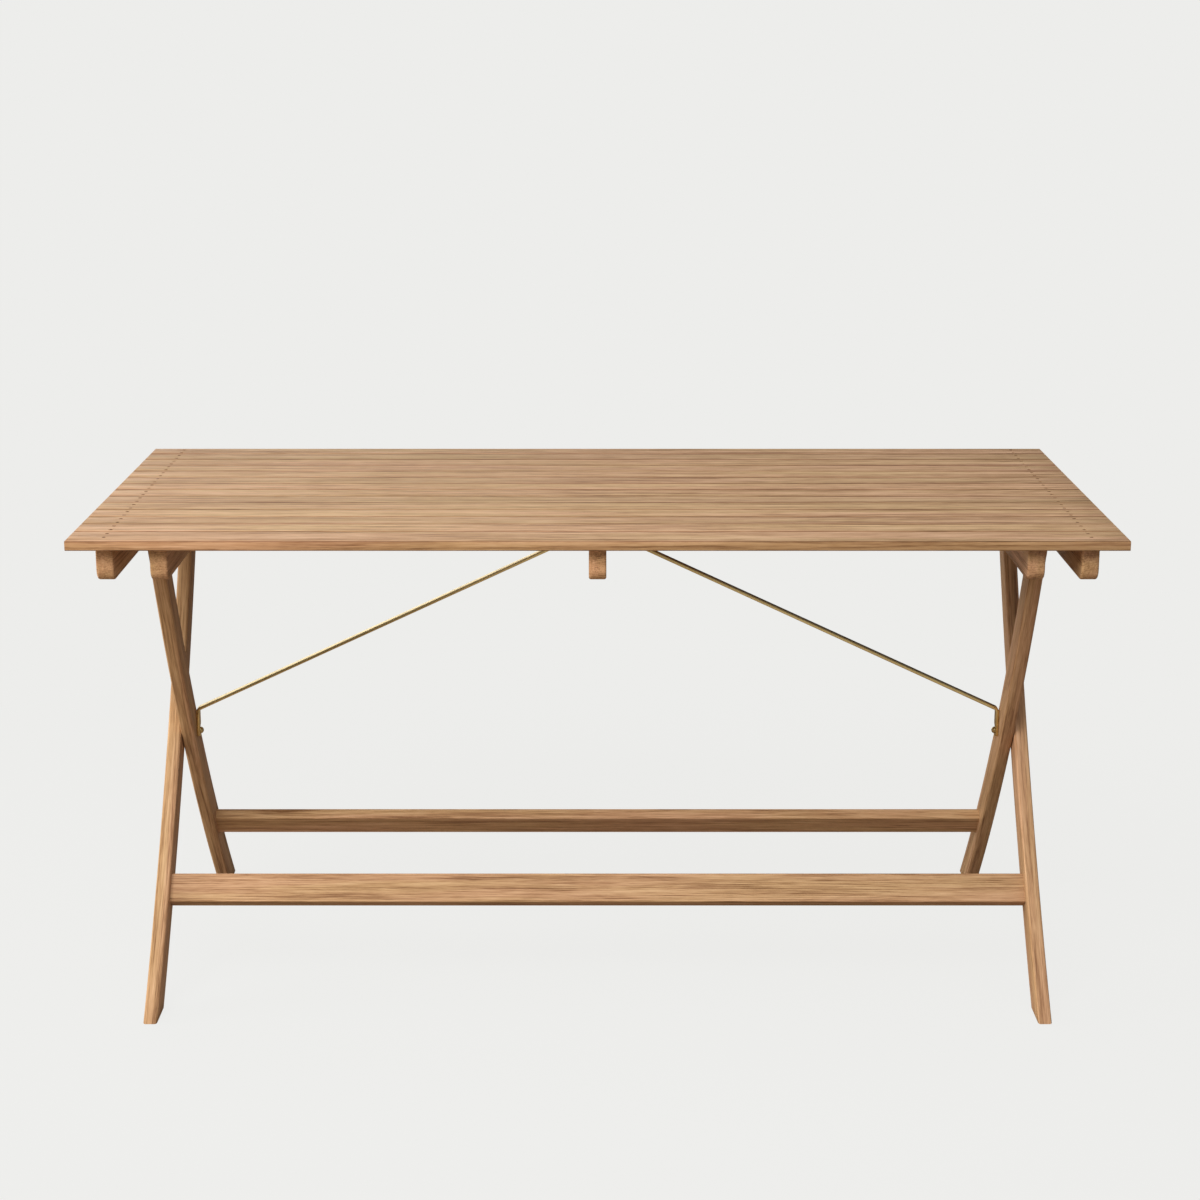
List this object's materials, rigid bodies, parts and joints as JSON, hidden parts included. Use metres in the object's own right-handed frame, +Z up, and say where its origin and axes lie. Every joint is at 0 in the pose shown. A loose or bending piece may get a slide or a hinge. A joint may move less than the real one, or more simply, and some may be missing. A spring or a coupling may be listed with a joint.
{
  "type": "folding slatted table",
  "caption": "Folding slatted wooden table on two crossed, gently curved leg frames, locked open by flat brass brace bars from the leg crossings to the centre batten.",
  "frame": {"origin": "on the floor under the middle of the top", "axes": "+X along the table's length, +Y from its front to its back, +Z up"},
  "size_m": [1.5, 0.745, 0.745],
  "materials": {
    "top_teak": "oiled, straight grained",
    "frame_teak": "oiled, straight grained",
    "polished_brass": "polished",
    "dark_brass": "aged"
  },
  "bodies": {
    "table_top": {"slat_01": "top_teak", "slat_02": "top_teak", "slat_03": "top_teak", "slat_04": "top_teak", "slat_05": "top_teak", "slat_06": "top_teak", "slat_07": "top_teak", "slat_08": "top_teak", "slat_09": "top_teak", "slat_10": "top_teak", "slat_11": "top_teak", "slat_12": "top_teak", "slat_13": "top_teak", "slat_14": "top_teak", "outer_batten_left": "frame_teak", "outer_batten_right": "frame_teak", "inner_batten_left": "frame_teak", "inner_batten_right": "frame_teak", "centre_batten": "frame_teak", "brace_pivot_bolt": "polished_brass", "brace_pivot_nut": "polished_brass", "hinge_bolt_left": "polished_brass", "hinge_bolt_right": "polished_brass", "hinge_washer_left": "polished_brass", "hinge_washer_right": "polished_brass", "hinge_nut_left": "polished_brass", "hinge_nut_right": "polished_brass", "slat_screws_left": "dark_brass", "slat_screws_right": "dark_brass", "inner_batten_screws_left": "dark_brass", "inner_batten_screws_right": "dark_brass", "centre_batten_screws": "dark_brass"},
    "rear_leg_frame": {"rear_leg_left": "frame_teak", "rear_leg_right": "frame_teak", "rear_stretcher": "frame_teak", "crossing_bolt_left": "polished_brass", "crossing_bolt_right": "polished_brass", "crossing_washer_left": "polished_brass", "crossing_washer_right": "polished_brass", "crossing_nut_left": "polished_brass", "crossing_nut_right": "polished_brass"},
    "front_leg_frame": {"front_leg_left": "frame_teak", "front_leg_right": "frame_teak", "front_stretcher": "frame_teak"},
    "left_brace": {"brace_bar_left": "polished_brass"},
    "right_brace": {"brace_bar_right": "polished_brass"}
  },
  "joints": [
    {"name": "leg_fold", "type": "hinge", "parent": "table_top", "child": "rear_leg_frame", "pos_m": [0, -0.21969, 0.707], "axis": [1, 0, 0], "range_deg": [0, 49]},
    {"name": "leg_scissor", "type": "hinge", "parent": "rear_leg_frame", "child": "front_leg_frame", "pos_m": [0, 0, 0.358], "axis": [1, 0, 0], "range_deg": [-98, 0]},
    {"name": "left_brace_swing", "type": "hinge", "parent": "table_top", "child": "left_brace", "pos_m": [-0.015, 0, 0.706], "axis": [1, 0, 0], "range_deg": [-82, 0]},
    {"name": "right_brace_swing", "type": "hinge", "parent": "table_top", "child": "right_brace", "pos_m": [0.015, 0, 0.706], "axis": [1, 0, 0], "range_deg": [-82, 0]}
  ],
  "couplings": [
    {"joint": "leg_scissor", "follows": "leg_fold", "ratio": -2}
  ]
}
